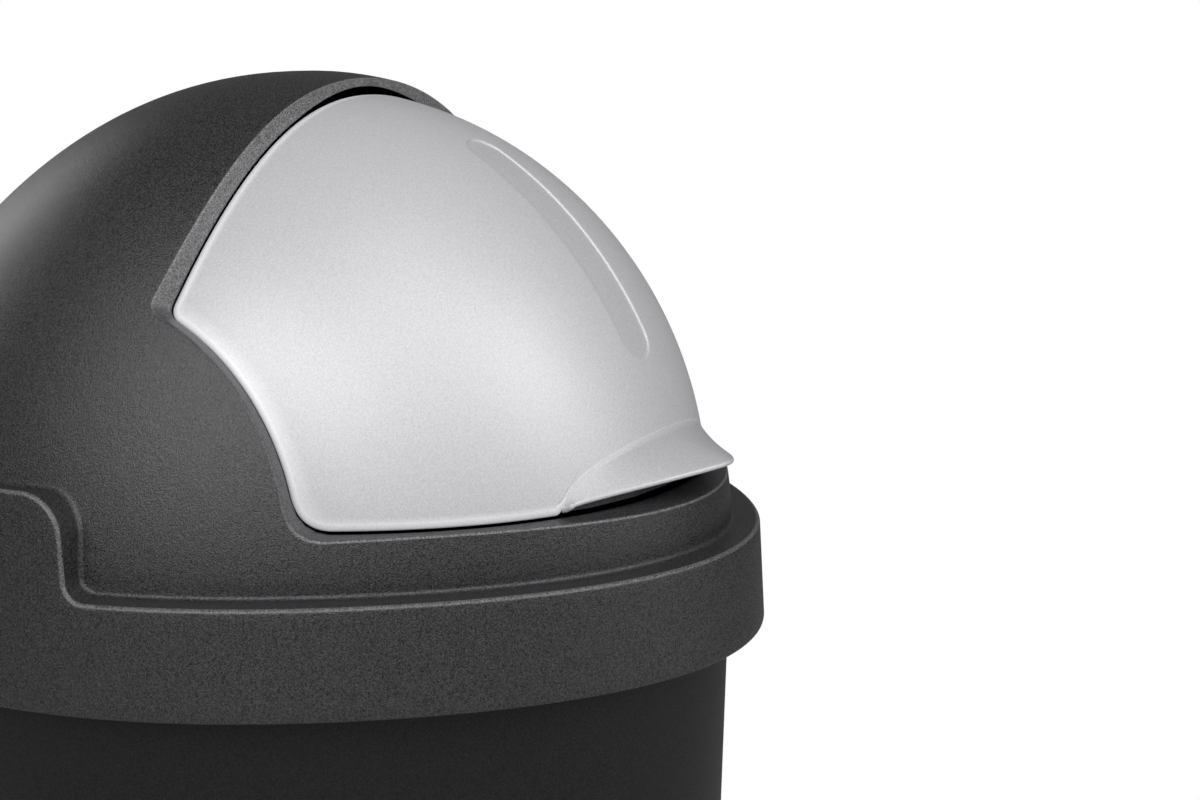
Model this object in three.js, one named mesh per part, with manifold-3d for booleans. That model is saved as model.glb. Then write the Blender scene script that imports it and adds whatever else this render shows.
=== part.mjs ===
// Dome top waste receptacle: a tapered oval bin, a lift-off dome top and a roll flap.
// Millimetres, +Z up. The origin is the middle of the foot, on the floor. The front faces -Y.
import * as THREE from 'three';
import { mergeVertices } from 'three/addons/utils/BufferGeometryUtils.js';
import Module from 'manifold-3d';

const wasm = await Module();
wasm.setup();

// ---- Overall size and plan -------------------------------------------------------------
const WIDTH = 340; // across the lid's skirt, side to side
const DEPTH = 406; // across the lid's skirt, front to back
const HEIGHT = 668; // floor to the top of the dome
const FLANK = 0.043; // how far the plan's diagonals draw in from a true ellipse
const PLAN_STEPS = 48; // points round every oval
const FIT = 0.3; // gap between pieces that seat on each other

// ---- Lid: dome, collar, ledge and skirt ------------------------------------------------
const LID_WALL = 2.6;
const DOME_RISE = 166.6; // ledge to the top of the dome
const LEDGE_Z = HEIGHT - DOME_RISE;
const COLLAR_INSET = 13.2; // skirt's bottom edge to the collar's wall
const COLLAR_STRAIGHT = 3; // height of plain wall before the dome starts to lean in
const COLLAR_FILLET = 1.6;
const SIDE_CURVE = { rise: 1.457, spread: 2.369 }; // superellipse powers of the dome's sides
const FRONT_CURVE = { rise: 1.739, spread: 1.983 };
const REAR_CURVE = { rise: 1.294, spread: 2.0 };
const CURVE_BLEND = 120; // length over which the front curve turns into the rear one
const DOME_LEVELS = 8; // rings above the lobes
const FOOT_LEVELS = 3; // rings beside the lobes
const SKIRT_DROP = 38; // ledge to the skirt's bottom edge
const SKIRT_DRAFT = 2.2; // how much narrower the skirt is at the ledge, each side
const SKIRT_EDGE = 2.4; // rounding of the ledge's outer edge
const RIB_DROP = 18; // locating rib inside the rim of the bin
const RIB_WALL = 2.2;
const RIB_STEP = 0.8; // collar's inner face to the rib's outer face

// ---- Lobe over each side of the skirt --------------------------------------------------
const LOBE_RISE = 35.5;
const LOBE_FLAT = 19.5; // half length of its level top
const LOBE_SHOULDER = 15; // rounding at the top of each flank
const LOBE_LEAN = 1.2; // how far a flank leans out between its two roundings
const LOBE_FOOT = 7; // rounding at the foot of each flank

// ---- Hinge and roll flap ----------------------------------------------------------------
const HINGE_Y = -18.6;
const HINGE_Z = LEDGE_Z + 1.6;
const FLAP_RADIUS = 158.9; // hinge line to the outside of the flap, at its middle
const SPAN_MARGIN = 34.9; // skirt to the point where the flap's barrel would close
const FLAP_HALF_SPAN = WIDTH / 2 - SPAN_MARGIN;
const BARREL_POWER = 2.05;
const FLAP_MARGIN = 54.3; // skirt to the flap's side
const FLAP_HALF_WIDTH = WIDTH / 2 - FLAP_MARGIN;
const FLAP_SIDE_LEAN = -3.4; // the sides draw in towards the top
const FLAP_SIDE_BOW = -0.56;
const FLAP_SIDE_AT = 40; // angle in degrees where the half width is measured
const FLAP_TOP_ANGLE = 80.2; // of the top edge above the hinge's level, at the middle
const FLAP_TOP_BOW = 5; // how much lower the top corners lie, in degrees
const FLAP_BOTTOM_RISE = 20.4; // ledge to the flap's bottom edge
const FLAP_TOP_CORNER = 5;
const FLAP_BOTTOM_CORNER = 12;
const SHELL_WALL = 2.4;
const SHELL_EDGE = 1.2; // chamfer round the shell
const BARREL_END = 6.1;
const BARREL_HALF = FLAP_HALF_SPAN - BARREL_END; // the skin is drawn this far to each side
const FLAP_GAP = 0.6; // between the flap and the opening's edge
const ROLL_GAP = 0.6; // between the flap's outside and the frame that it rolls under
const FRAME_WALL = 2.4;
const FRAME_FLARE = 0.25; // the opening's sloped band: outward run for each mm of height
const SILL_FALL = 0.16; // how much the sill falls outwards, for each mm of its width
const PLUG_REACH = 60; // how far the cutters stand out of the barrel's skin

// ---- Finger lip and strip of the flap ---------------------------------------------------
const LIP_HALF = 57;
const LIP_REACH = 20.3; // barrel's skin to the lip's front edge, at the middle
const LIP_END_REACH = 2; // the same at the ends of the lip
const LIP_ROOT_RISE = 18.5; // height of the arch where the lip leaves the flap
const LIP_ROOT_FOOT = 2; // flap's bottom edge to the foot of that arch
const LIP_FRONT_RISE = 11.2; // flap's bottom edge to the lip's front edge, at the middle
const LIP_END_FALL = 7; // how much lower the front edge's ends are
const LIP_WALL = 2;
const LIP_STEPS = 20;
const LIP_BOW = 1.4; // power of the front edge's curve, which comes to a soft point
const STRIP_WIDTH = 18.4;
const STRIP_DEPTH = 0.7;
const STRIP_TOP_ANGLE = 62.5;
const STRIP_BOTTOM_ANGLE = 24;

// ---- Carrier behind the flap's shell, and its pivots -------------------------------------
const CARRIER_GAP = 0.4; // shell to carrier
const CARRIER_WALL = 2;
const CARRIER_INSET = 2.2; // carrier's edge inside the shell's edge
const ARM_INSET = 9.7; // flap's side to the inner face of each arm
const ARM_X = FLAP_HALF_WIDTH - ARM_INSET;
const ARM_WALL = 3;
const ARM_FROM = 16; // angles that each fan-shaped arm spans on the carrier
const ARM_TO = 71;
const HUB_RADIUS = 13;
const HUB_LENGTH = 11;
const PIN_RADIUS = 5;
const PIN_HEAD_RADIUS = 8.5;
const PIN_HEAD = 2.5;
const PIN_IN_BOSS = 18;
const PIN_CLEARANCE = 0.35;
const BOSS_RADIUS = 10.5;

// ---- Bin body -----------------------------------------------------------------------------
const BODY_WALL = 2.6;
const BODY_INSET = 12.9; // skirt's bottom edge to the bin's wall, at the rim
const BODY_TAPER = 1.45; // degrees, each side
const RIM_INSET = 5.5; // skirt's bottom edge to the rim's outer bead
const RIM_TURN = 9; // height of the turned-down bead
const BASE_RADIUS = 14; // rounding between wall and base
const FOOT_HEIGHT = 4;
const FOOT_WIDTH = 7;
const FLOOR_WALL = 3;

const DARK = { color: 0x3b3b3e, roughness: 0.62, metalness: 0 };
const SILVER = { color: 0xc3c5c8, roughness: 0.42, metalness: 0.35 };
const INNER = { color: 0x2c2c2f, roughness: 0.6, metalness: 0 };

const rad = THREE.MathUtils.degToRad;
const deg = THREE.MathUtils.radToDeg;
const lerp = THREE.MathUtils.lerp;
const smoothstep = THREE.MathUtils.smoothstep;

// ---- Solids ---------------------------------------------------------------------------

// A closed skin through rings of equal length; a single point is a pole.
function loft(rings) {
  const position = [];
  const starts = rings.map((ring) => {
    const start = position.length / 3;
    ring.forEach((point) => position.push(...point));
    return start;
  });
  const index = [];
  for (let k = 0; k + 1 < rings.length; k += 1) {
    const [a, b] = [starts[k], starts[k + 1]];
    const [na, nb] = [rings[k].length, rings[k + 1].length];
    const n = Math.max(na, nb);
    for (let i = 0; i < n; i += 1) {
      const j = (i + 1) % n;
      if (na > 1) index.push(a + i, a + j, nb > 1 ? b + j : b);
      if (nb > 1) index.push(na > 1 ? a + i : a, b + j, b + i);
    }
  }
  const geometry = new THREE.BufferGeometry();
  geometry.setAttribute('position', new THREE.Float32BufferAttribute(position, 3));
  geometry.setIndex(index);
  return solid(geometry);
}

// A manifold solid from a closed geometry, whichever way its faces wind.
function solid(geometry) {
  geometry.deleteAttribute('normal');
  geometry.deleteAttribute('uv');
  const merged = mergeVertices(geometry, 1e-4);
  const vertProperties = Float32Array.from(merged.attributes.position.array);
  const triVerts = Uint32Array.from(merged.index.array);
  if (signedVolume(vertProperties, triVerts) < 0) triVerts.reverse();
  return new wasm.Manifold(new wasm.Mesh({ numProp: 3, vertProperties, triVerts }));
}

function signedVolume(vertices, triangles) {
  const corner = (i) => new THREE.Vector3().fromArray(vertices, 3 * triangles[i]);
  let volume = 0;
  for (let i = 0; i < triangles.length; i += 3) {
    volume += corner(i).dot(corner(i + 1).cross(corner(i + 2))) / 6;
  }
  return volume;
}

function geometryOf(manifold) {
  const { vertProperties, triVerts, numProp } = manifold.getMesh();
  const geometry = new THREE.BufferGeometry();
  geometry.setAttribute('position', new THREE.Float32BufferAttribute(vertProperties, numProp));
  geometry.setIndex(Array.from(triVerts));
  geometry.computeVertexNormals();
  return geometry;
}

// A solid turned about the hinge line. The profile is a list of [x, radius].
function turned(profile, steps) {
  const points = profile.map(([x, radius]) => new THREE.Vector2(radius, x));
  const geometry = new THREE.LatheGeometry(points, steps);
  geometry.rotateZ(-Math.PI / 2);
  geometry.translate(0, HINGE_Y, HINGE_Z);
  return solid(geometry);
}

function mirrored(manifold) {
  return manifold.mirror([1, 0, 0]);
}

// ---- The oval plan ----------------------------------------------------------------------

// A point of the plan oval, moved in along its normal. t = 0 is +X, t = 90 degrees is +Y.
function plan(t, inset) {
  const [a, b] = [WIDTH / 2, DEPTH / 2];
  const draw = 1 - FLANK * Math.sin(2 * t) ** 2;
  const drawRate = -2 * FLANK * Math.sin(4 * t);
  const dx = -a * Math.sin(t) * draw + a * Math.cos(t) * drawRate;
  const dy = b * Math.cos(t) * draw + b * Math.sin(t) * drawRate;
  const length = Math.hypot(dx, dy);
  return [
    a * Math.cos(t) * draw - (inset * dy) / length,
    b * Math.sin(t) * draw + (inset * dx) / length,
  ];
}

function evenTurns() {
  return Array.from({ length: PLAN_STEPS }, (_, i) => (2 * Math.PI * i) / PLAN_STEPS);
}

// Even turns, with more where the lobes' flanks stand. shift moves the flanks inwards.
function lidTurns(shift) {
  const turns = evenTurns();
  lobeProfile().forEach(([y]) => {
    const t = Math.asin((y - shift) / (DEPTH / 2));
    turns.push(t, Math.PI - t, Math.PI + t, 2 * Math.PI - t);
  });
  turns.sort((p, q) => p - q);
  const least = Math.PI / PLAN_STEPS / 20;
  return turns.filter((t, i) => i === 0 || t - turns[i - 1] > least);
}

// ---- The lid's skin -----------------------------------------------------------------------

// One flank of a lobe as [distance from its middle, height], from the top down.
function lobeProfile() {
  const steps = 4;
  const shoulder = [];
  const foot = [];
  const flank = LOBE_FLAT + LOBE_SHOULDER;
  const end = flank + LOBE_LEAN + LOBE_FOOT;
  for (let i = 0; i <= steps; i += 1) {
    const turn = (Math.PI / 2) * (i / steps);
    const [across, up] = [Math.sin(turn), Math.cos(turn)];
    const down = LOBE_RISE - LOBE_SHOULDER * (1 - up);
    shoulder.push([LOBE_FLAT + LOBE_SHOULDER * across, down]);
    foot.push([end - LOBE_FOOT * up, LOBE_FOOT * (1 - across)]);
  }
  return [...shoulder, ...foot];
}

// How far a lobe lifts the ledge. wall gives the lobe's inside instead of its outside.
function lobeLift(t, wall = 0) {
  const y = Math.abs((DEPTH / 2) * Math.sin(t)) + wall;
  const profile = lobeProfile();
  const next = profile.findIndex(([far]) => far >= y);
  if (next === 0) return LOBE_RISE;
  if (next < 0) return 0;
  const [[y0, z0], [y1, z1]] = [profile[next - 1], profile[next]];
  return lerp(z0, z1, (y - y0) / (y1 - y0));
}

function shrink(level, curve) {
  return (1 - level ** curve.rise) ** (1 / curve.spread);
}

// A point of the dome at a height. depth moves the whole dome inwards by a wall.
function dome(t, z, depth) {
  const base = LEDGE_Z + COLLAR_STRAIGHT;
  const level = THREE.MathUtils.clamp((z - base) / (HEIGHT - depth - base), 0, 1);
  const [x, y] = plan(t, COLLAR_INSET + depth);
  const behind = smoothstep(y - HINGE_Y, -CURVE_BLEND / 2, CURVE_BLEND / 2);
  const along = lerp(shrink(level, FRONT_CURVE), shrink(level, REAR_CURVE), behind);
  return [x * shrink(level, SIDE_CURVE), HINGE_Y + (y - HINGE_Y) * along, z];
}

// Rings of the dome from its top down to a foot whose height may change with the turn.
function domeRings(turns, depth, footHeight) {
  const top = HEIGHT - depth;
  const shoulder = LEDGE_Z + LOBE_RISE * 1.4;
  const rings = [[[0, HINGE_Y, top]]];
  for (let k = 1; k <= DOME_LEVELS; k += 1) {
    const z = lerp(top, shoulder, (k / DOME_LEVELS) ** 1.8);
    rings.push(turns.map((t) => dome(t, z, depth)));
  }
  for (let k = 1; k <= FOOT_LEVELS; k += 1) {
    const down = k / FOOT_LEVELS;
    rings.push(turns.map((t) => dome(t, lerp(shoulder, footHeight(t), down), depth)));
  }
  return rings;
}

// A point of the skirt's face, moved in along the plan's normal.
function skirt(t, inset, z) {
  const draft = (SKIRT_DRAFT * (z - (LEDGE_Z - SKIRT_DROP))) / SKIRT_DROP;
  return [...plan(t, draft + inset), z];
}

// The lid as if it were solid.
function lidBulk() {
  const turns = lidTurns(0);
  const ledge = (t) => LEDGE_Z + lobeLift(t);
  const edge = (inset, drop) => turns.map((t) => skirt(t, inset, ledge(t) - drop));
  const bottom = LEDGE_Z - SKIRT_DROP;
  return loft([
    ...domeRings(turns, 0, (t) => ledge(t) + COLLAR_FILLET),
    turns.map((t) => filletFoot(t, ledge(t))),
    edge(SKIRT_EDGE, 0),
    edge(SKIRT_EDGE * 0.3, SKIRT_EDGE * 0.3),
    edge(0, SKIRT_EDGE),
    turns.map((t) => skirt(t, 0, bottom)),
    [[0, 0, bottom]],
  ]);
}

// Where the fillet between the dome and the ledge ends on the ledge.
function filletFoot(t, z) {
  const [x, y] = dome(t, z, 0);
  const [x0, y0] = plan(t, 0);
  const [x1, y1] = plan(t, COLLAR_FILLET);
  return [x + x0 - x1, y + y0 - y1, z];
}

// The hollow of the lid, with the locating rib left standing in it.
function lidHollow() {
  const turns = lidTurns(LID_WALL);
  const top = (t) => LEDGE_Z + lobeLift(t, LID_WALL);
  const under = (t) => top(t) - LID_WALL;
  const below = LEDGE_Z - SKIRT_DROP - 1;
  const ribFoot = LEDGE_Z - RIB_DROP;
  const ribOut = COLLAR_INSET + LID_WALL + RIB_STEP;
  const ribIn = ribOut + RIB_WALL;
  return loft([
    [[0, 0, below]],
    turns.map((t) => skirt(t, LID_WALL, below)),
    turns.map((t) => skirt(t, LID_WALL, under(t))),
    turns.map((t) => [...plan(t, ribOut), under(t)]),
    turns.map((t) => [...plan(t, ribOut), ribFoot]),
    turns.map((t) => [...plan(t, ribIn), ribFoot]),
    turns.map((t) => [...plan(t, ribIn), under(t) + LID_WALL * 0.7]),
    ...domeRings(turns, LID_WALL, top).reverse(),
  ]);
}

// ---- The flap's barrel and its outline ----------------------------------------------------

function barrelRadius(x) {
  return FLAP_RADIUS * Math.sqrt(1 - Math.abs(x / FLAP_HALF_SPAN) ** BARREL_POWER);
}

// The barrel's outward normal as [share along x, share along the radius].
function barrelNormal(x) {
  const share = Math.abs(x / FLAP_HALF_SPAN) ** (BARREL_POWER - 1);
  const fall = (FLAP_RADIUS ** 2 * BARREL_POWER * share) / FLAP_HALF_SPAN / 2 / barrelRadius(x);
  const length = Math.hypot(fall, 1);
  return [(Math.sign(x) * fall) / length, 1 / length];
}

// A solid barrel about the hinge line, its skin moved outwards by depth.
function barrel(depth) {
  const steps = 18;
  const skin = [];
  for (let i = 0; i <= steps; i += 1) {
    const x = BARREL_HALF * Math.sin((Math.PI / 2) * ((2 * i) / steps - 1));
    const [nx, nr] = barrelNormal(x);
    skin.push([x + nx * depth, barrelRadius(x) + nr * depth]);
  }
  return turned([[skin[0][0], 0], ...skin, [skin.at(-1)[0], 0]], 80);
}

// A point above the barrel's skin, at an angle above the hinge's level.
function aboveBarrel(x, degrees, depth) {
  const [nx, nr] = barrelNormal(x);
  return atRadius(x + nx * depth, degrees, barrelRadius(x) + nr * depth);
}

function atRadius(x, degrees, radius) {
  const angle = rad(degrees);
  return [x, HINGE_Y - radius * Math.cos(angle), HINGE_Z + radius * Math.sin(angle)];
}

// Half width of the flap at an angle, grown along the barrel's skin.
function sideX(degrees, grow) {
  const turn = degrees / FLAP_SIDE_AT - 1;
  const x = FLAP_HALF_WIDTH + FLAP_SIDE_LEAN * turn + FLAP_SIDE_BOW * turn * turn;
  return x + grow * barrelNormal(x)[1];
}

function topAngle(x, grow, depth) {
  const bow = FLAP_TOP_BOW * (x / FLAP_HALF_WIDTH) ** 2;
  const radius = barrelRadius(x) + barrelNormal(x)[1] * depth;
  return FLAP_TOP_ANGLE - bow + deg(grow / radius);
}

// Angle of the level bottom edge, a drop below the flap's own.
function bottomAngle(x, drop, depth) {
  const rise = LEDGE_Z + FLAP_BOTTOM_RISE - drop - HINGE_Z;
  const radius = barrelRadius(x) + barrelNormal(x)[1] * depth;
  return deg(Math.asin(rise / radius));
}

// Right half of the outline as [x, degrees], from the bottom middle up to the top middle.
function halfOutline({ grow, drop, depth }) {
  const steps = 8;
  const lowAt = bottomAngle(sideX(12, grow), drop, depth);
  const lowX = sideX(lowAt, grow);
  const highAt = topAngle(sideX(FLAP_TOP_ANGLE - FLAP_TOP_BOW, 0), grow, depth);
  const highX = sideX(highAt, grow);
  const sideFrom = lowAt + deg(FLAP_BOTTOM_CORNER / barrelRadius(lowX));
  const sideTo = highAt - deg(FLAP_TOP_CORNER / barrelRadius(highX));
  const topFrom = highX - FLAP_TOP_CORNER * barrelNormal(highX)[1];
  const bottomTo = lowX - FLAP_BOTTOM_CORNER * barrelNormal(lowX)[1];
  const bottom = (x) => [x, bottomAngle(x, drop, depth)];
  const side = (degrees) => [sideX(degrees, grow), degrees];
  const top = (x) => [x, topAngle(x, grow, depth)];
  return [
    ...run(steps, 0, bottomTo, bottom),
    ...corner(bottom(bottomTo), [lowX, lowAt], side(sideFrom)),
    ...run(steps, sideFrom, sideTo, side),
    ...corner(side(sideTo), [highX, highAt], top(topFrom)),
    ...run(steps, topFrom, 0, top),
  ];
}

function run(steps, from, to, point) {
  return Array.from({ length: steps + 1 }, (_, i) => point(lerp(from, to, i / steps)));
}

// The inner points of a rounded corner.
function corner(from, turn, to) {
  const points = [from, turn, to].map(([x, y]) => new THREE.Vector2(x, y));
  const curve = new THREE.QuadraticBezierCurve(...points);
  return curve.getPoints(5).slice(1, -1).map((point) => [point.x, point.y]);
}

function outlineRing(step) {
  const right = halfOutline(step);
  const left = right.slice(1, -1).reverse().map(([x, degrees]) => [-x, degrees]);
  return [...right, ...left].map(([x, degrees]) => aboveBarrel(x, degrees, step.depth));
}

// A plug through the barrel's skin that follows the flap's outline. Each step says how far
// the outline grows along the skin, how far its bottom edge drops, and how high it stands.
function plug(steps) {
  const middle = (FLAP_TOP_ANGLE + bottomAngle(0, 0, 0)) / 2;
  return loft([
    [atRadius(0, middle, FLAP_RADIUS / 3)],
    ...steps.map(outlineRing),
    [atRadius(0, middle, FLAP_RADIUS * 2)],
  ]);
}

// ---- Lid: the hood ------------------------------------------------------------------------

// The opening's cutter: its sides flare outwards and its sill falls outwards.
function windowPlug() {
  const at = (depth) => ({
    grow: FLAP_GAP + FRAME_FLARE * depth,
    drop: FLAP_GAP + SILL_FALL * depth,
    depth,
  });
  return plug([at(-3), at(0), at(PLUG_REACH / 4), at(PLUG_REACH)]);
}

// The same opening, one wall larger: what lies between the two frames the opening.
function framePlug() {
  const at = (depth) => ({
    grow: FLAP_GAP + FRAME_WALL + FRAME_FLARE * depth,
    drop: FLAP_GAP + FRAME_WALL + SILL_FALL * depth,
    depth,
  });
  return plug([at(-3), at(0), at(PLUG_REACH / 4), at(PLUG_REACH)]);
}

// Blind sockets that stand inwards from the rib behind each lobe, on the hinge line.
function pivotBoss() {
  const to = WIDTH / 2 - COLLAR_INSET - LID_WALL - RIB_STEP - RIB_WALL / 2 - 0.6;
  const bore = PIN_RADIUS + PIN_CLEARANCE;
  const from = hubFace() + FIT;
  const bottom = from + PIN_IN_BOSS + FIT;
  return turned([
    [from, bore],
    [from, BOSS_RADIUS],
    [to, BOSS_RADIUS],
    [to, 0],
    [bottom, 0],
    [bottom, bore],
    [from, bore],
  ], 32);
}

function makeHood() {
  const bulk = lidBulk();
  const rollSpace = barrel(ROLL_GAP);
  const frame = bulk.intersect(framePlug()).subtract(rollSpace);
  const boss = pivotBoss();
  return bulk
    .subtract(lidHollow())
    .subtract(rollSpace)
    .add(frame)
    .subtract(windowPlug())
    .add(boss)
    .add(mirrored(boss));
}

// ---- Pivots ---------------------------------------------------------------------------

function hubFace() {
  return ARM_X + HUB_LENGTH;
}

function makePin() {
  const head = ARM_X - FIT - PIN_HEAD;
  const tip = hubFace() + FIT + PIN_IN_BOSS;
  return turned([
    [head, 0],
    [head, PIN_HEAD_RADIUS - 1],
    [head + 1, PIN_HEAD_RADIUS],
    [head + PIN_HEAD, PIN_HEAD_RADIUS],
    [head + PIN_HEAD, PIN_RADIUS],
    [tip - 1, PIN_RADIUS],
    [tip, PIN_RADIUS - 1],
    [tip, 0],
  ], 24);
}

// ---- Flap: the shell with its lip ------------------------------------------------------------

function lipX(i) {
  return LIP_HALF * THREE.MathUtils.clamp((2 * i) / LIP_STEPS - 1, -0.997, 0.997);
}

// Height of the arch where the lip leaves the flap's skin.
function lipRootZ(x) {
  const arch = Math.sqrt(1 - (x / LIP_HALF) ** 2);
  return LEDGE_Z + FLAP_BOTTOM_RISE + LIP_ROOT_FOOT + LIP_ROOT_RISE * arch;
}

// Y of the barrel's skin at the front, at a height.
function skinY(x, z) {
  return HINGE_Y - Math.sqrt(barrelRadius(x) ** 2 - (z - HINGE_Z) ** 2);
}

// One section of the lip: a bent plate from inside the shell to its front edge.
function lipSection(x) {
  const away = Math.abs(x / LIP_HALF) ** LIP_BOW;
  const rootZ = lipRootZ(x);
  const rootY = skinY(x, rootZ);
  const frontZ = LEDGE_Z + FLAP_BOTTOM_RISE + LIP_FRONT_RISE - LIP_END_FALL * away;
  const tipY = HINGE_Y - FLAP_RADIUS - LIP_REACH;
  const frontY = lerp(tipY, skinY(LIP_HALF, HINGE_Z) - LIP_END_REACH, away);
  const [midY, midZ] = [lerp(rootY, frontY, 0.5), lerp(rootZ, frontZ, 0.5) - 0.6];
  const bury = SHELL_WALL * 0.7;
  return [
    [x, rootY + bury, rootZ],
    [x, rootY, rootZ],
    [x, midY, midZ],
    [x, frontY, frontZ],
    [x, frontY + 0.3, frontZ - LIP_WALL * 0.8],
    [x, midY, midZ - LIP_WALL * 1.1],
    [x, rootY + bury, rootZ - LIP_WALL * 1.4],
  ];
}

function makeLip() {
  return capped(Array.from({ length: LIP_STEPS + 1 }, (_, i) => lipSection(lipX(i))));
}

// A loft whose first and last rings are closed flat.
function capped(rings) {
  const middle = (ring) => [[0, 1, 2].map((k) => (
    ring.reduce((sum, point) => sum + point[k], 0) / ring.length
  ))];
  return loft([middle(rings[0]), ...rings, middle(rings.at(-1))]);
}

// Everything of the shell under the lip is cut away, so that the carrier shows there.
function lipNotch() {
  const low = LEDGE_Z + FLAP_BOTTOM_RISE - 6;
  const far = HINGE_Y - FLAP_RADIUS - LIP_REACH;
  const near = HINGE_Y - FLAP_RADIUS * 0.7;
  return capped(Array.from({ length: LIP_STEPS + 1 }, (_, i) => {
    const x = lipX(i) * 0.97;
    const high = lipRootZ(x) - LIP_WALL * 1.2;
    return [[x, far, low], [x, far, high], [x, near, high], [x, near, low]];
  }));
}

// The shallow strip with round ends that runs down the middle of the flap.
function stripCutter() {
  const half = STRIP_WIDTH / 2;
  const round = deg(half / FLAP_RADIUS);
  const ring = run(20, 0, 2 * Math.PI, (turn) => {
    const end = Math.sin(turn) >= 0 ? STRIP_TOP_ANGLE - round : STRIP_BOTTOM_ANGLE + round;
    return [half * Math.cos(turn), end + round * Math.sin(turn)];
  }).slice(0, -1);
  const at = (radius) => ring.map(([x, degrees]) => atRadius(x, degrees, radius));
  return capped([at(FLAP_RADIUS * 0.6), at(FLAP_RADIUS * 1.3)]).subtract(barrel(-STRIP_DEPTH));
}

// A wall of the barrel, from one depth under its skin to another.
function barrelWall(from, to) {
  return barrel(-from).subtract(barrel(-to));
}

function makeFlapShell() {
  const inside = { grow: 0, drop: 0, depth: -2 * SHELL_WALL };
  const edge = { grow: 0, drop: 0, depth: -SHELL_EDGE };
  const face = { grow: -SHELL_EDGE, drop: -SHELL_EDGE, depth: 0 };
  const outline = plug([inside, edge, face, { ...face, depth: PLUG_REACH }]);
  return barrelWall(0, SHELL_WALL)
    .intersect(outline)
    .subtract(lipNotch())
    .add(makeLip())
    .subtract(stripCutter());
}

// ---- Flap: the carrier behind the shell ---------------------------------------------------

function turnedBlock(from, to, radius, steps) {
  return turned([[from, 0], [from, radius], [to, radius], [to, 0]], steps);
}

// A fan-shaped plate across the hinge line, on the +X side. Angles are as for the flap.
function fanPlate() {
  const fan = new THREE.Shape();
  fan.absarc(0, 0, FLAP_RADIUS, rad(ARM_FROM), rad(ARM_TO), false);
  fan.absarc(0, 0, HUB_RADIUS * 0.8, rad(ARM_TO + 60), rad(ARM_FROM - 60), false);
  fan.closePath();
  const options = { depth: ARM_WALL, bevelEnabled: false, curveSegments: 16 };
  const plate = new THREE.ExtrudeGeometry(fan, options);
  // The drawing's x runs to the front, its y up and its depth to -X.
  const forward = new THREE.Vector3(0, -1, 0);
  const up = new THREE.Vector3(0, 0, 1);
  const across = new THREE.Vector3(-1, 0, 0);
  plate.applyMatrix4(new THREE.Matrix4().makeBasis(forward, up, across));
  plate.translate(ARM_X + ARM_WALL, HINGE_Y, HINGE_Z);
  return solid(plate);
}

function makeCarrier() {
  const depth = SHELL_WALL + CARRIER_GAP;
  const edge = { grow: -CARRIER_INSET, drop: 0 };
  const outline = plug([{ ...edge, depth: -4 * depth }, { ...edge, depth: PLUG_REACH }]);
  const panel = barrelWall(depth, depth + CARRIER_WALL).intersect(outline);
  const plate = fanPlate().intersect(barrel(-depth));
  const hub = turnedBlock(ARM_X, hubFace(), HUB_RADIUS, 40);
  const bore = turnedBlock(ARM_X - 5, hubFace() + 5, PIN_RADIUS + PIN_CLEARANCE, 24);
  const arm = plate.add(hub).subtract(bore);
  return panel.add(arm).add(mirrored(arm));
}

// ---- Bin body -------------------------------------------------------------------------------

const RIM_Z = LEDGE_Z - LID_WALL - FIT;

function bodyInset(z) {
  return BODY_INSET + (RIM_Z - z) * Math.tan(rad(BODY_TAPER));
}

// A quarter round between a level face and the tapered wall, from the level face upwards.
function baseRound(radius, base, depth, ring) {
  return run(4, 0, Math.PI / 2, (turn) => {
    const z = base + radius * (1 - Math.cos(turn));
    return ring(bodyInset(z) + depth + radius * (1 - Math.sin(turn)), z);
  });
}

function makeBody() {
  const turns = evenTurns();
  const ring = (inset, z) => turns.map((t) => [...plan(t, inset), z]);
  const foot = bodyInset(0) + BASE_RADIUS + FOOT_WIDTH;
  const floor = FOOT_HEIGHT + FLOOR_WALL;
  const bead = RIM_INSET + BODY_WALL * 0.8;
  const outside = [
    [[0, 0, FOOT_HEIGHT]],
    ring(foot, FOOT_HEIGHT),
    ring(foot - 1, 0),
    ...baseRound(BASE_RADIUS, 0, 0, ring),
    ring(bodyInset(RIM_Z - BODY_WALL), RIM_Z - BODY_WALL),
    ring(bead, RIM_Z - BODY_WALL),
    ring(bead, RIM_Z - RIM_TURN),
    ring(RIM_INSET, RIM_Z - RIM_TURN),
    ring(RIM_INSET, RIM_Z - 1.2),
    ring(RIM_INSET + 1.2, RIM_Z),
  ];
  const inside = [
    [[0, 0, floor]],
    ...baseRound(BASE_RADIUS - BODY_WALL, floor, BODY_WALL, ring),
    ring(bodyInset(RIM_Z) + BODY_WALL, RIM_Z),
  ];
  return loft([...outside, ...inside.reverse()]);
}

// ---- Assembly -----------------------------------------------------------------------------

const group = new THREE.Group();

function addPiece(name, manifold, finish) {
  const mesh = new THREE.Mesh(geometryOf(manifold), new THREE.MeshStandardMaterial(finish));
  mesh.name = name;
  group.add(mesh);
}

addPiece('bin_body', makeBody(), DARK);
addPiece('hood', makeHood(), DARK);
addPiece('flap_shell', makeFlapShell(), SILVER);
addPiece('flap_carrier', makeCarrier(), INNER);
addPiece('pivot_pin_right', makePin(), INNER);
addPiece('pivot_pin_left', mirrored(makePin()), INNER);

export default group;
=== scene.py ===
import math

import bmesh
import bpy
import numpy as np
from mathutils import Matrix, Vector


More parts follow.
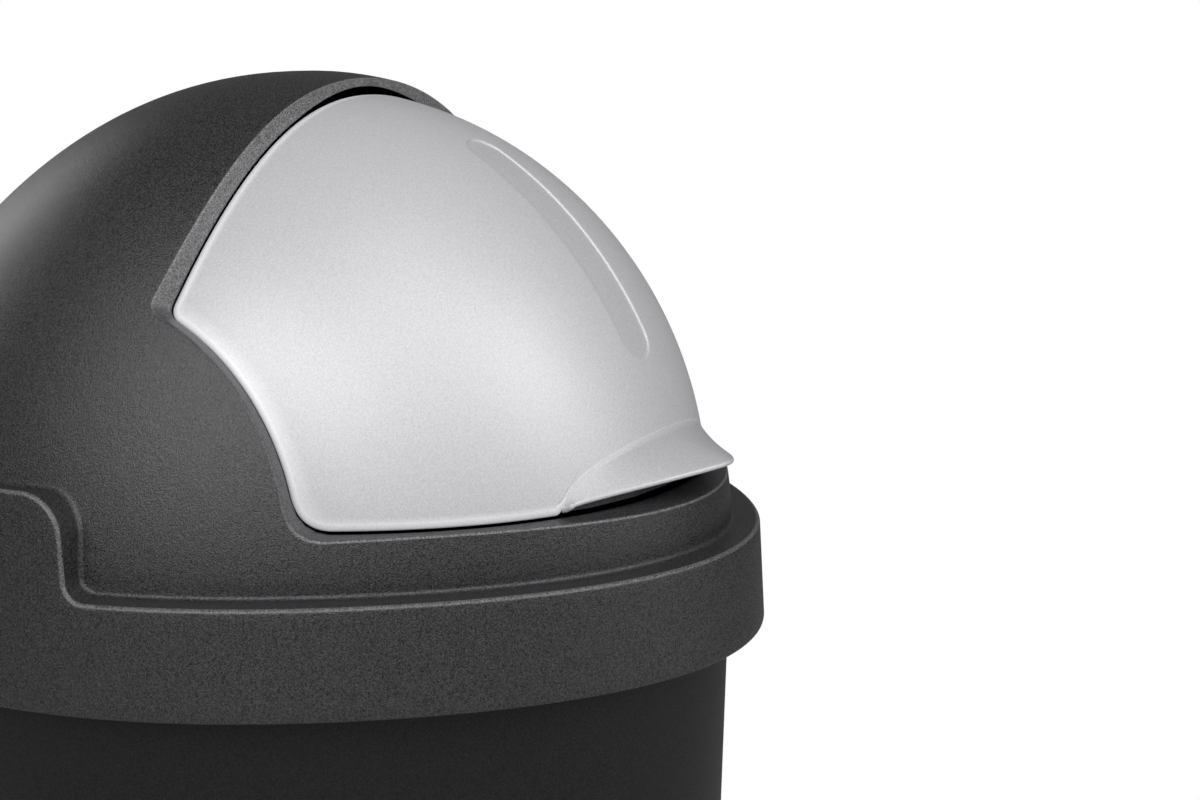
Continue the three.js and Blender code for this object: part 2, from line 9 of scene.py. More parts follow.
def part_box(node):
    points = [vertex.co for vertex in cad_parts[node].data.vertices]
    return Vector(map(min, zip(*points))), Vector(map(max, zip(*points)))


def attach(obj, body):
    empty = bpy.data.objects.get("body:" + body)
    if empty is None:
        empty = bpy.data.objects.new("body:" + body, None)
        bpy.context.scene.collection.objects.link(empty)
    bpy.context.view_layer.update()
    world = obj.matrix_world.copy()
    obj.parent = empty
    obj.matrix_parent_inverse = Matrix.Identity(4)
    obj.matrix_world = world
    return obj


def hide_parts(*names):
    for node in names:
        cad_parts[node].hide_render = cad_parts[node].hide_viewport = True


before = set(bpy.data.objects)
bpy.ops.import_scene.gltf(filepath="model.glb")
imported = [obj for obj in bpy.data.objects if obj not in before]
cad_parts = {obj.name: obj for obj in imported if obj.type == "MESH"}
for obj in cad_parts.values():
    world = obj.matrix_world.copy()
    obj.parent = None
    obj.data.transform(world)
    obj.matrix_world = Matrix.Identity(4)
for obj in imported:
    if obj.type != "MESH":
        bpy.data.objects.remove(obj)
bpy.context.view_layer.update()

# ---- Camera ----
# It stands off the bin's front left corner, a little above the top of the dome, as the
# photograph was taken: looking 62.4 degrees round from +Y and 10.9 degrees down.
mm = 0.001
heading, pitch = math.radians(62.3681), math.radians(10.928)
ahead = Vector((math.sin(heading) * math.cos(pitch), math.cos(heading) * math.cos(pitch),
                -math.sin(pitch)))
aside = Vector((math.cos(heading), -math.sin(heading), 0))
above = aside.cross(ahead)
eye = Vector((-0.63312, -0.47723, 0.68844))
camera = bpy.data.objects.new("camera", bpy.data.cameras.new("camera"))
camera.data.sensor_width = 36
camera.data.lens = 59.577
camera.matrix_world = Matrix.Translation(eye) @ Matrix((aside, above, -ahead)).transposed().to_4x4()
bpy.context.collection.objects.link(camera)
bpy.context.scene.camera = camera


# ---- Bin body ----
# A tapered oval bucket of dark charcoal polypropylene, one injection moulding with a fine
# spark-eroded grain. Its rim is turned down into a bead, and the lid's skirt laps over that.
class Shade:
    """A socket in a material. Arithmetic on it adds Math nodes."""

    def __init__(self, tree, socket=None):
        self.tree, self.socket = tree, socket

    def node(self, kind, settings=None, values=None, out=0):
        """Adds a node, sets it up, joins or fills its sockets, and gives one of its outputs."""
        made = self.tree.nodes.new("ShaderNode" + kind)
        for name, value in (settings or {}).items():
            setattr(made, name, value)
        for name, value in (values or {}).items():
            if isinstance(value, Shade):
                self.tree.links.new(value.socket, made.inputs[name])
            else:
                made.inputs[name].default_value = value
        return Shade(self.tree, made.outputs[out])

    def sum(self, operation, first, second):
        return self.node("Math", {"operation": operation}, {0: first, 1: second})

    def __add__(self, other):
        return self.sum("ADD", self, other)

    def __sub__(self, other):
        return self.sum("SUBTRACT", self, other)

    def __rsub__(self, other):
        return self.sum("SUBTRACT", other, self)

    def __mul__(self, other):
        return self.sum("MULTIPLY", self, other)

    __radd__ = __add__
    __rmul__ = __mul__


def grey(level, tint=(1.01, 0.97, 1.04)):
    """A grey by its brightness on a screen from 0 to 255, as the linear colour it stands for,
    with the plastic's faint violet tint."""
    share = ((level / 255 + 0.055) / 1.055) ** 2.4
    return (*(share * part for part in tint), 1)


def moulded(name, dark, light, size, roughness, bump, metallic=0.0, specular=0.5, tone_and_highlight=None):
    """A grained plastic: speckle between two greys, a fine bump and a slow drift of gloss.
    Size is that of the finest grain. The last argument is the pair of greys used where the mesh is
    marked, for a lighter tone and for painted highlights; a mark below 0 takes the colour a little
    the other way."""
    material = bpy.data.materials.new(name)
    material.use_nodes = True
    tree = material.node_tree
    shader = tree.nodes["Principled BSDF"]
    at = Shade(tree).node("TexCoord", out="Object")
    grain = at.node("TexNoise", None, {"Vector": at, "Scale": 1 / size, "Detail": 2.0,
                                       "Roughness": 0.6})
    coarse = at.node("TexNoise", None, {"Vector": at, "Scale": 0.42 / size, "Detail": 1.0})
    cloud = at.node("TexNoise", None, {"Vector": at, "Scale": 14.0, "Detail": 3.0})
    spread = at.node("MapRange", None, {"Value": grain * 0.8 + coarse * 0.2,
                                        "From Min": 0.37, "From Max": 0.63})
    colour = at.node("Mix", {"data_type": "RGBA"}, {6: dark, 7: light, 0: spread}, out=2)
    if tone_and_highlight:
        mark = at.node("Attribute", {"attribute_name": "tone_and_highlight"}, out="Fac")
        marked_colour = at.node("Mix", {"data_type": "RGBA"}, {6: tone_and_highlight[0], 7: tone_and_highlight[1], 0: spread}, out=2)
        colour = at.node("Mix", {"data_type": "RGBA", "clamp_factor": False},
                         {6: colour, 7: marked_colour, 0: mark}, out=2)
    tree.links.new(colour.socket, shader.inputs["Base Color"])
    gloss = roughness + (cloud - 0.5) * 0.1 + (grain - 0.5) * 0.12
    tree.links.new(gloss.socket, shader.inputs["Roughness"])
    normal = at.node("Bump", None, {"Height": grain + coarse * 0.3, "Strength": bump,
                                    "Distance": 0.1 * mm})
    tree.links.new(normal.socket, shader.inputs["Normal"])
    shader.inputs["Metallic"].default_value = metallic
    shader.inputs["Specular IOR Level"].default_value = specular
    return material


def rounded(corners, steps=6):
    """A profile through corners (across, up, radius), each turned to an arc of its radius."""
    profile = []
    for k, (across, up, radius) in enumerate(corners):
        here = Vector((across, up))
        if radius == 0:
            profile.append(here)
            continue
        back = (Vector(corners[k - 1][:2]) - here).normalized()
        on = (Vector(corners[k + 1][:2]) - here).normalized()
        half = back.angle(on) / 2
        centre = here + (back + on).normalized() * radius / math.sin(half)
        reach = radius / math.tan(half)
        start, end = here + back * reach - centre, here + on * reach - centre
        profile += [centre + start.slerp(end, i / steps) * radius for i in range(steps + 1)]
    return profile


def plan(turn, inset):
    """The bin's oval plan, pinched a little at its corners and moved in along its normal. Turn
    0 is +X and the front is -Y."""
    draw = 1 - pinch * np.sin(2 * turn) ** 2
    rate = -2 * pinch * np.sin(4 * turn)
    dx = -half_width * np.sin(turn) * draw + half_width * np.cos(turn) * rate
    dy = half_depth * np.cos(turn) * draw + half_depth * np.sin(turn) * rate
    size = np.hypot(dx, dy)
    return (half_width * np.cos(turn) * draw - inset * dy / size,
            half_depth * np.sin(turn) * draw + inset * dx / size)


def points(x, y, z):
    """Rows of (x, y, z), from arrays or single values."""
    return np.stack(np.broadcast_arrays(x, y, z), axis=-1)


def sealed(mesh):
    """Merges a mesh's doubles, turns its faces outwards and smooths them."""
    bmesh.ops.remove_doubles(mesh, verts=mesh.verts, dist=1e-6)
    bmesh.ops.recalc_face_normals(mesh, faces=mesh.faces)
    for face in mesh.faces:
        face.smooth = True
    return mesh


def skin(rings, closed=False, tone_and_highlight=0.0):
    """A moulding's surface: a grid bent round so that its rows run through the rings. The last
    argument marks where the material's second pair of greys goes, for a lighter or darker tone and
    for painted highlights, ring by ring or point by point."""
    rings = list(rings) + ([rings[0]] if closed else [])
    rows = np.array([np.concatenate([ring, ring[:1]]) for ring in rings])
    marks = np.broadcast_to(np.reshape(tone_and_highlight, (-1, 1)) if np.ndim(tone_and_highlight) == 1 else tone_and_highlight,
                            rows.shape[:2])
    mesh = bmesh.new()
    bmesh.ops.create_grid(mesh, x_segments=rows.shape[1] - 1, y_segments=rows.shape[0] - 1, size=1)
    layer = mesh.verts.layers.float.new("tone_and_highlight")
    for vertex, place, mark in zip(mesh.verts, rows.reshape(-1, 3), marks.reshape(-1)):
        vertex.co = place
        vertex[layer] = mark
    return sealed(mesh)


def piece(name, meshes, material, body, slot, *stands_for):
    """Joins closed surfaces in one object that rides on a body and takes a node's place."""
    made = bpy.data.meshes.new(name)
    whole = bmesh.new()
    for mesh in meshes:
        mesh.to_mesh(made)
        mesh.free()
        whole.from_mesh(made)
    whole.to_mesh(made)
    whole.free()
    thing = bpy.data.objects.new(name, made)
    bpy.context.collection.objects.link(thing)
    made.materials.append(material)
    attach(thing, body)
    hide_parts(*stands_for)


half_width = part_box("hood")[1].x
half_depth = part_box("hood")[1].y
pinch = 0.043
top_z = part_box("hood")[1].z
ledge_z = top_z - 166.6 * mm
rim_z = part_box("bin_body")[1].z
taper, rim_inset = math.tan(math.radians(1.45)), 12.9 * mm
even = np.linspace(0, 2 * math.pi, 260, endpoint=False)


def wall_inset(z):
    """How far inside the skirt's plan the body's wall stands at a height."""
    return rim_inset + (rim_z - z) * taper


# Its greys are darker than the hood's: painted shade, for the shadow under the skirt and the dim
# light from below.
charcoal_body_painted_shade = moulded("charcoal_body_painted_shade", grey(0), grey(34), 0.6 * mm, 0.42, 2.5, specular=0.36)
wall = 2.6 * mm
base_under, base_over = 4 * mm, 7 * mm
foot = wall_inset(0) + 21 * mm
base_middle = foot + 30 * mm
bead_inner, bead_outer, bead_low = 7.6 * mm, 5.5 * mm, rim_z - 9 * mm
bucket = rounded([
    (base_middle, base_under, 0), (foot, base_under, 1 * mm), (foot - 1 * mm, 0, 1 * mm),
    (wall_inset(0), 0, 14 * mm), (wall_inset(rim_z), rim_z - wall, 0.8 * mm),
    (bead_inner, rim_z - wall, 0.6 * mm), (bead_inner, bead_low, 0.3 * mm),
    (bead_outer, bead_low, 0.6 * mm), (bead_outer, rim_z, 1.4 * mm),
    (wall_inset(rim_z) + wall, rim_z, 1 * mm),
    (wall_inset(base_over) + wall, base_over, 11 * mm), (base_middle, base_over, 0)])
levels = [points(*plan(even, inset), z) for inset, z in bucket]
centre_low, centre_high = np.zeros_like(levels[0]), np.zeros_like(levels[0])
centre_low[:, 2], centre_high[:, 2] = base_under, base_over
piece("bin_body_moulding", [skin([centre_low, *levels, centre_high])], charcoal_body_painted_shade,
      "root", "body_plastic", "bin_body")


# ---- Hood ----
# The dark top of the bin: dome, collar round the flap's opening, ledge with a raised lobe over
# each pivot, and skirt, all one moulding of the same grained plastic. It lifts off the rim. The
# opening's band is lighter than the rest, and the sill's and ledge's rounded edges carry painted
# highlights.
hinge_y, hinge_z = -18.6 * mm, ledge_z + 1.6 * mm
dome_inset, base_z, turnover = 13.2 * mm, ledge_z + 3 * mm, 120 * mm
front_curve, rear_curve, side_curve = (1.739, 1.983), (1.294, 2), (1.457, 2.369)
disc_power, disc_apron = 0.75, 160 * mm
barrel_span, barrel_reach, barrel_power = 135.1 * mm, 158.9 * mm, 2.05
side_reach, side_lean, side_bow = 115.7 * mm, 3.4 * mm, 0.56 * mm
top_at, top_droop, sill_rise = 80.2, 5, 20.4 * mm
low_corner, high_corner = 12 * mm, 5 * mm
rim_round, fillet, edge, sag = 0.8 * mm, 1.6 * mm, 1.6 * mm, 0.07


def smooth(share):
    """Eases a share between 0 and 1."""
    share = np.clip(share, 0, 1)
    return share * share * (3 - 2 * share)


def mix(a, b, share):
    """A share of the way from a to b."""
    return a + (b - a) * share


def swell(level, curve):
    """How far out a curve of the dome stands, as a share of its foot."""
    return (1 - level ** curve[0]) ** (1 / curve[1])


def dome(turn, z, depth=0.0):
    """Points of the dome's skin at a height, or of the skin a depth inside it."""
    level = np.clip((z - base_z) / (top_z - depth - base_z), 0, 1)
    x, y = plan(turn, dome_inset + depth)
    to_rear = smooth((y - hinge_y) / turnover + 0.5)
    lengthways = mix(swell(level, front_curve), swell(level, rear_curve), to_rear)
    return points(x * swell(level, side_curve), hinge_y + (y - hinge_y) * lengthways, z)


def turn_at(place, depth=0.0):
    """The turn at which the dome's skin lies in the direction of each place."""
    aim = np.arctan2(place[:, 1] - hinge_y, place[:, 0])
    low, high = aim - 0.8, aim + 0.8
    for _ in range(30):
        middle = (low + high) / 2
        found = dome(middle, place[:, 2], depth)
        past = np.cos(aim) * (found[:, 1] - hinge_y) - np.sin(aim) * found[:, 0] > 0
        low, high = np.where(past, low, middle), np.where(past, middle, high)
    return (low + high) / 2


def disc(turn, z, depth=0.0):
    """The dome pressed flat on a disc: its top is the middle, its foot the rim."""
    level = np.clip((z - base_z) / (top_z - depth - base_z), 0, 1)
    reach = 1 - np.arcsin(level ** disc_power) * 2 / math.pi
    reach = reach + np.clip(base_z - z, 0, 1) / disc_apron
    return np.stack([reach * np.cos(turn), reach * np.sin(turn)], axis=-1)


def undisc(flat, depth=0.0):
    """Points of the disc back on the dome's skin."""
    turn = np.arctan2(flat[:, 1], flat[:, 0])
    reach = np.hypot(flat[:, 0], flat[:, 1])
    level = np.sin(np.clip(1 - reach, 0, 1) * math.pi / 2) ** (1 / disc_power)
    z = base_z + level * (top_z - depth - base_z) - np.clip(reach - 1, 0, 1) * disc_apron
    return dome(turn, z, depth)


def barrel_radius(x):
    """Radius of the barrel that the flap's skin follows, about the hinge line."""
    return barrel_reach * np.sqrt(1 - np.abs(x / barrel_span) ** barrel_power)


def barrel_normal(x):
    """The flap barrel's outward normal, as its shares along x and along the radius."""
    share = np.abs(x / barrel_span) ** (barrel_power - 1)
    steep = barrel_reach ** 2 * barrel_power * share / barrel_span / 2 / barrel_radius(x)
    length = np.hypot(steep, 1)
    return np.sign(x) * steep / length, 1 / length


def over_barrel(x, angle, depth):
    """A point above the barrel's skin, at an angle above the hinge's level."""
    nx, nr = barrel_normal(x)
    radius = barrel_radius(x) + nr * depth
    return points(x + nx * depth, hinge_y - radius * np.cos(angle),
                  hinge_z + radius * np.sin(angle))


def side_x(angle, grow):
    """How far out the outline's side stands at an angle above the hinge's level."""
    turn = np.degrees(angle) / 40 - 1
    x = side_reach - side_lean * turn - side_bow * turn ** 2
    return x + grow * barrel_normal(x)[1]


def top_angle(x, grow, depth):
    """Angle of the outline's top edge, which droops towards its corners."""
    radius = barrel_radius(x) + barrel_normal(x)[1] * depth
    return np.radians(top_at - top_droop * (x / side_reach) ** 2) + grow / radius


def level_angle(x, rise, depth):
    """Angle at which the barrel stands a rise above the ledge."""
    radius = barrel_radius(x) + barrel_normal(x)[1] * depth
    return np.arcsin((ledge_z + rise - hinge_z) / radius)


def bend(a, b, c, share):
    """A curve from a to c that heads for b at both ends."""
    return a * (1 - share) ** 2 + 2 * b * share * (1 - share) + c * share ** 2


def outline(along, grow, drop, depth):
    """The flap's outline from the middle of its bottom edge (0) past its right side to the
    middle of its top (5) and back past its left side (10), grown and dropped by lengths."""
    left = along > 5
    step = np.where(left, 10 - along, along)
    low = level_angle(side_x(math.radians(12), grow), sill_rise - drop, depth)
    low_x = side_x(low, grow)
    high = top_angle(side_x(math.radians(top_at - top_droop), 0.0), grow, depth)
    high_x = side_x(high, grow)
    side_from = low + low_corner / barrel_radius(low_x)
    side_to = high - high_corner / barrel_radius(high_x)
    bottom_to = low_x - low_corner * barrel_normal(low_x)[1]
    top_from = high_x - high_corner * barrel_normal(high_x)[1]
    part = step - np.minimum(np.floor(step), 4)
    on_side = mix(side_from, side_to, part)
    ways = [step < 1, step < 2, step < 3, step < 4, step <= 5]
    bottom_x, over_x = bottom_to * part, top_from * (1 - part)
    x = np.select(ways, [bottom_x, bend(bottom_to, low_x, side_x(side_from, grow), part),
                         side_x(on_side, grow),
                         bend(side_x(side_to, grow), high_x, top_from, part), over_x])
    sill = level_angle(bottom_to, sill_rise - drop, depth)
    angle = np.select(ways, [level_angle(bottom_x, sill_rise - drop, depth),
                             bend(sill, low, side_from, part), on_side,
                             bend(side_to, high, top_angle(top_from, grow, depth), part),
                             top_angle(over_x, grow, depth)])
    return np.where(left, -x, x), angle


def opening(along, depth, wider=0.0):
    """The opening's band at a height over the barrel, or one that is wider. It stands clear of
    the flap and leans outwards, by a quarter of its height at its sides and top."""
    grow = 0.45 * mm + 0.25 * depth + wider
    drop = 0.6 * mm + 0.16 * depth + wider
    return over_barrel(*outline(along, grow, drop, depth), depth)


def opening_on_dome(along, wider=0.0, skin_depth=0.0, sunk=0.0):
    """Where the opening's band meets the dome's skin."""
    low, high = np.zeros_like(along), np.full_like(along, 45 * mm)
    for _ in range(28):
        middle = (low + high) / 2
        place = opening(along, middle, wider)
        face = dome(turn_at(place, skin_depth), place[:, 2], skin_depth)
        out = (np.hypot(place[:, 0], place[:, 1] - hinge_y)
               > np.hypot(face[:, 0], face[:, 1] - hinge_y))
        low, high = np.where(out, low, middle), np.where(out, middle, high)
    return (low + high) / 2 - sunk


# The foot line, where the dome meets the ledge. Half a lobe of it seen flat, from its middle
# down its flank and along the plain ledge: how far along, how high, and the way it faces.
lobe_flat, lobe_reach, lobe_high = 19.5 * mm, 42.7 * mm, 35.5 * mm
shoulder_round, hollow_round = 15 * mm, 7 * mm
run, fall = lobe_reach - lobe_flat, lobe_high - shoulder_round - hollow_round
lean = math.acos((shoulder_round + hollow_round) / math.hypot(run, fall)) - math.atan2(fall, run)
swing = np.linspace(0, math.pi / 2 - lean, 40)
level_top = np.linspace(0, lobe_flat, 30)[:-1]
shoulder = (lobe_flat + shoulder_round * np.sin(swing),
            lobe_high - shoulder_round * (1 - np.cos(swing)))
hollow = (lobe_reach - hollow_round * np.sin(swing[::-1]),
          hollow_round * (1 - np.cos(swing[::-1])))
slope = np.linspace(0, 1, 20)[1:-1]
straight = [mix(a[-1], b[0], slope) for a, b in zip(shoulder, hollow)]
lobe_y = np.concatenate([level_top, shoulder[0], straight[0], hollow[0]])
lobe_z = np.concatenate([0 * level_top + lobe_high, shoulder[1], straight[1], hollow[1]])
facing = np.concatenate([0 * level_top, swing, 0 * slope + swing[-1], swing[::-1]])
plain = np.linspace(math.asin(lobe_reach / half_depth), math.pi / 2, 900)[1:]
quarter = np.stack([np.concatenate([np.arcsin(lobe_y / half_depth), plain]),
                    np.concatenate([lobe_z, 0 * plain]),
                    np.concatenate([np.sin(facing), 0 * plain]),
                    np.concatenate([np.cos(facing), 0 * plain + 1])])
flipped = quarter * np.array([[-1], [1], [-1], [1]])
right = np.concatenate([flipped[:, :0:-1], quarter], axis=1)
left = right[:, ::-1].copy()
left[0] = math.pi - left[0]
loop = np.concatenate([right[:, :-1], left], axis=1)
x, y = plan(loop[0], dome_inset)
length = np.concatenate([[0], np.cumsum(np.sqrt(np.diff(x) ** 2 + np.diff(y) ** 2
                                                + np.diff(loop[1]) ** 2))])
# The mesh's rays stand closer on the lobes, and everywhere follow the foot line's length. On
# the belt, part of the way up the dome, their turn is evened out.
rays_apart, lobe_rays_apart, lobe_turn, even_over = 3.4 * mm, 1.0 * mm, 0.235, 13 * mm
on_lobe = np.abs(np.cos(loop[0])) > math.cos(lobe_turn)
apart = np.where(on_lobe, lobe_rays_apart, rays_apart)
count = np.concatenate([[0], np.cumsum(np.diff(length) / (apart[1:] + apart[:-1]) * 2)])
samples = 4096
fine = np.linspace(0, length[-1], samples, endpoint=False)
drift = np.interp(fine, length, loop[0]) - fine / length[-1] * 2 * math.pi
waves = np.fft.fftfreq(samples, length[-1] / samples)
soften = np.exp(-2 * (math.pi * even_over * waves) ** 2)
calm = np.real(np.fft.ifft(np.fft.fft(drift) * soften)) + fine / length[-1] * 2 * math.pi


def belt_z(turn):
    """Height of the belt, which lies low in front and above the lobes elsewhere."""
    away = np.abs((turn + math.pi / 2 + math.pi) % (2 * math.pi) - math.pi)
    raised = smooth((away - math.radians(48)) / math.radians(26))
    return ledge_z + mix(8 * mm, 52 * mm, raised)


opening_middle = np.array([0, -0.45])


def bearing(flat):
    """Bearing of points of the disc from the middle of the opening, growing from the front."""
    angle = np.arctan2(flat[:, 1] - opening_middle[1], flat[:, 0] - opening_middle[0])
    return (angle + math.pi / 2 - 1e-9) % (2 * math.pi)


table = np.linspace(0, 10, 3001)[1:-1]
rim_table = opening(table, opening_on_dome(table, rim_round), rim_round)
rim_bearing = bearing(disc(turn_at(rim_table), rim_table[:, 2]))
belt_bearing = np.unwrap(bearing(disc(calm, belt_z(calm))))
corner_steps = np.concatenate([k + np.linspace(-0.15, 1.15, 13) for k in (1, 3, 6, 8)])
corner_at = np.interp(np.interp(corner_steps, table, rim_bearing), belt_bearing[1:], fine[1:])
stations = np.sort(np.concatenate([np.interp(np.arange(0.0, count[-1] - 0.5), count, length),
                                   corner_at]))
stations = stations[np.concatenate([[True], np.diff(stations) > 0.25 * mm])]
foot_turn, lift, face_y, face_z = [np.interp(stations, length, row) for row in loop]
belt_turn = np.interp(stations, np.append(fine, length[-1]),
                      np.append(calm, calm[0] + 2 * math.pi))
along = np.interp(bearing(disc(belt_turn, belt_z(belt_turn))), rim_bearing, table)


def foot_line(off, sag=0.0):
    """The foot line moved off along the way it faces: its turn and height, less any sag."""
    y = np.clip(half_depth * np.sin(foot_turn) + face_y * off, -half_depth, half_depth)
    turn = np.arcsin(y / half_depth)
    turn = np.where(np.cos(foot_turn) < 0, math.pi - turn, turn)
    return np.where(face_y == 0, foot_turn, turn), ledge_z + lift * (1 - sag) + face_z * off


skirt_high, skirt_draft, hem = 38 * mm, 2.2 * mm, 0.8 * mm
skirt_low = ledge_z - skirt_high


def skirt(turn, inset, z):
    """Points of the skirt's slightly drafted face, or of one an inset inside it."""
    return points(*plan(turn, inset + skirt_draft * (z - skirt_low) / skirt_high), z)


def dome_rings(first, foot_from, depth, over, beside):
    """Rings from the opening's rim down the dome to the foot line."""
    belt = disc(belt_turn, belt_z(belt_turn), depth)
    start = disc(turn_at(first, depth), first[:, 2], depth)
    turn, z = foot_from
    rings = [undisc(mix(start, belt, k / over), depth) for k in range(1, over + 1)]
    return rings + [dome(mix(belt_turn, turn, k / beside), mix(belt_z(belt_turn), z, k / beside),
                         depth) for k in range(1, beside + 1)]


corner = opening(along, opening_on_dome(along))
on_dome = opening(along, opening_on_dome(along, rim_round), rim_round)
in_band = opening(along, opening_on_dome(along, sunk=rim_round))
bends = np.linspace(0, math.pi / 2, 7)
# The opening's rounded rim, the dome, the fillet at its foot, and the ledge's rounded edge.
hood = [corner + (on_dome - corner) * (1 - math.sin(a)) + (in_band - corner) * (1 - math.cos(a))
        for a in bends[::-1]]
hood += dome_rings(on_dome, foot_line(fillet, sag), 0.0, 44, 14)
outward = points(*plan(foot_turn, 0), 0) - points(*plan(foot_turn, 1), 0)
for a in bends[1:]:
    turn, z = foot_line(fillet * (1 - math.sin(a)), sag)
    hood.append(dome(turn, z) + outward * fillet * (1 - math.cos(a)))
turn, z = foot_line(0)
hood.append(mix(hood[-1], skirt(turn, edge, z), 0.5))
ledge_edge = len(hood)
for a in bends:
    turn, z = foot_line(-edge * (1 - math.cos(a)))
    hood.append(skirt(turn, edge * (1 - math.sin(a)), z))
# The skirt, outside and inside.
turn, z = foot_line(-edge)
for k in range(1, 9):
    hood.append(skirt(mix(turn, belt_turn, smooth(k / 8)), 0.0, mix(z, skirt_low + hem, k / 8)))
for a in bends[2::2]:
    hood.append(skirt(belt_turn, hem * (1 - math.cos(a)), skirt_low + hem * (1 - math.sin(a))))
hood.append(skirt(belt_turn, wall - hem, skirt_low))
hood.append(skirt(belt_turn, wall, skirt_low + hem))
turn, z = foot_line(-wall)
for k in range(1, 5):
    hood.append(skirt(mix(belt_turn, turn, smooth(k / 4)), wall, mix(skirt_low + hem, z, k / 4)))
# The rib that stands inside the body's rim.
rib, rib_thick, rib_round, rib_low = 16.6 * mm, 2.2 * mm, 0.5 * mm, ledge_z - 18 * mm
z = foot_line(-wall, sag)[1]
hood.append(points(*plan(turn, rib), z))
for inwards, up in ((0, rib_round), (rib_round, 0), (rib_thick - rib_round, 0),
                    (rib_thick, rib_round)):
    hood.append(points(*plan(belt_turn, rib + inwards), rib_low + up))
hood.append(points(*plan(turn, rib + rib_thick), z + 1.8 * mm))
# The dome's inside, and the collar round the opening, which stops short of the flap.
collar = 2.4 * mm
inner_rim = opening(along, opening_on_dome(along, collar, wall), collar)
hood += dome_rings(inner_rim, foot_line(0.0), wall, 20, 8)[::-1] + [inner_rim]
half_way = np.minimum(along, 10 - along)
clearance = 0.6 * mm + 2.2 * mm * smooth((half_way - 4.55) / 0.45)
hood.append(opening(along, clearance, collar))
hood.append(opening(along, clearance))
hood += [mix(hood[-1], in_band, share) for share in (0.15, 0.4, 0.7)]
# The band takes part of the lighter grain at its sides and all of it along its top. The sill
# stays dark, but its rounded edge and the ledge's rounded edge take the lighter grain as painted
# highlights.
half_way = np.append(half_way, half_way[0])
on_sill = 1 - smooth((half_way - 1.2) / 0.6)
on_top = smooth((half_way - 3.5) / 0.4)
hood_tone_and_highlight = np.zeros((len(hood) + 1, len(half_way)))
hood_tone_and_highlight[:5] = hood_tone_and_highlight[-6:] = 0.3 - 0.2 * on_sill + 0.7 * on_top
hood_tone_and_highlight[2:6] += 0.7 * on_sill
hood_tone_and_highlight[ledge_edge + 1:ledge_edge + 5] = 0.6

neutral = (1, 0.99, 1.01)
# Its lighter pair of greys marks the band and paints the highlights on the sill's and ledge's
# edges.
charcoal = moulded("charcoal_hood", grey(0), grey(67), 0.52 * mm, 0.33, 2.2, specular=0.64,
                   tone_and_highlight=(grey(62, neutral), grey(142, neutral)))


def spun(profile, steps=48):
    """A turned shape about the hinge line, from a profile of (x, radius)."""
    mesh = bmesh.new()
    chain = [mesh.verts.new((across, hinge_y, hinge_z + radius)) for across, radius in profile]
    lines = [mesh.edges.new(pair) for pair in zip(chain, chain[1:])]
    bmesh.ops.spin(mesh, geom=chain + lines, cent=(0, hinge_y, hinge_z), axis=(1, 0, 0),
                   angle=2 * math.pi, steps=steps, use_merge=True)
    return sealed(mesh)


boss_mouth, socket_end, boss_end = 117.3 * mm, 135.6 * mm, half_width - 20.6 * mm
socket_radius, boss_radius = 5.35 * mm, 10.5 * mm
socket_profile = rounded([
    (socket_end, 0, 0), (socket_end, socket_radius, 0.2 * mm),
    (boss_mouth, socket_radius, 0.6 * mm), (boss_mouth, boss_radius, 0.8 * mm),
    (boss_end, boss_radius, 0.2 * mm), (boss_end, 0, 0)], 4)
bosses = [spun([(side * across, radius) for across, radius in socket_profile])
          for side in (1, -1)]
piece("hood_moulding", [skin(hood, closed=True, tone_and_highlight=hood_tone_and_highlight), *bosses], charcoal, "lid",
      "hood_plastic", "hood")


# ---- Pivot pins ----
# Two stub axles of black nylon. Each is pressed into the blind boss behind a lobe, and the
# flap's hub turns on it; the broad head keeps the hub from walking inwards.
black_nylon = moulded("black_nylon", grey(26), grey(38), 0.5 * mm, 0.42, 0.2)
pin_from, head_to, pin_to = 103.2 * mm, 105.7 * mm, 135.3 * mm
head_radius, pin_radius = 8.5 * mm, 5 * mm
pin_profile = rounded([
    (pin_from, 0, 0), (pin_from, head_radius, 0.9 * mm), (head_to, head_radius, 0.3 * mm),
    (head_to, pin_radius, 0.2 * mm), (pin_to, pin_radius, 1 * mm), (pin_to, 0, 0)], 4)
for side, node in ((1, "pivot_pin_right"), (-1, "pivot_pin_left")):
    turned = spun([(side * across, radius) for across, radius in pin_profile])
    piece(node + "_turned", [turned], black_nylon, "lid", "inner_plastic", node)


# ---- Flap carrier ----
# The black moulding behind the silver cover: a barrel-shaped panel with an arm and a hub at
# each side. Its lower edge shows as the dark wall under the finger lip, and its greys are painted
# lighter than the pins' black nylon, standing in for the light that reaches that wall.
carrier_black_painted_light = moulded("carrier_black_painted_light", grey(48), grey(84), 0.6 * mm, 0.45, 0.6)
carrier_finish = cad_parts["flap_carrier"].data.materials
carrier_finish.clear()
carrier_finish.append(carrier_black_painted_light)


# ---- Flap cover ----
# The silver roll flap's skin: a thin barrel-shaped cover with a rounded edge, painted lighter as
# a highlight, and a shallow plain strip down its middle. One moulding with the lip, clipped to
# the carrier, of plastic with a fine metallic pigment.
cool = (1.0, 0.99, 1.02)
# Its lighter pair of greys paints the highlight on the rolled edge; the strip's floor, marked below
# 0, goes a little darker.
silver = moulded("pigmented_silver", grey(196, cool), grey(217, cool), 0.42 * mm, 0.46, 0.25,
                 metallic=0.2, tone_and_highlight=(grey(236, cool), grey(250, cool)))
cover_wall = 2.4 * mm
flap_steps = np.concatenate([np.linspace(0, 1, 46), 1 + np.linspace(0, 1, 12)[1:],
                             2 + np.linspace(0, 1, 30)[1:], 3 + np.linspace(0, 1, 12)[1:],
                             4 + np.linspace(0, 1, 50)[1:],
                             5 + np.linspace(0, 1, 12)[1:], 6 + np.linspace(0, 1, 40)[1:]])
lip_half, lip_foot, lip_arch = 57 * mm, 22.4 * mm, 18.5 * mm
foot_x, cover_grow = 60 * mm, 0.75 * mm


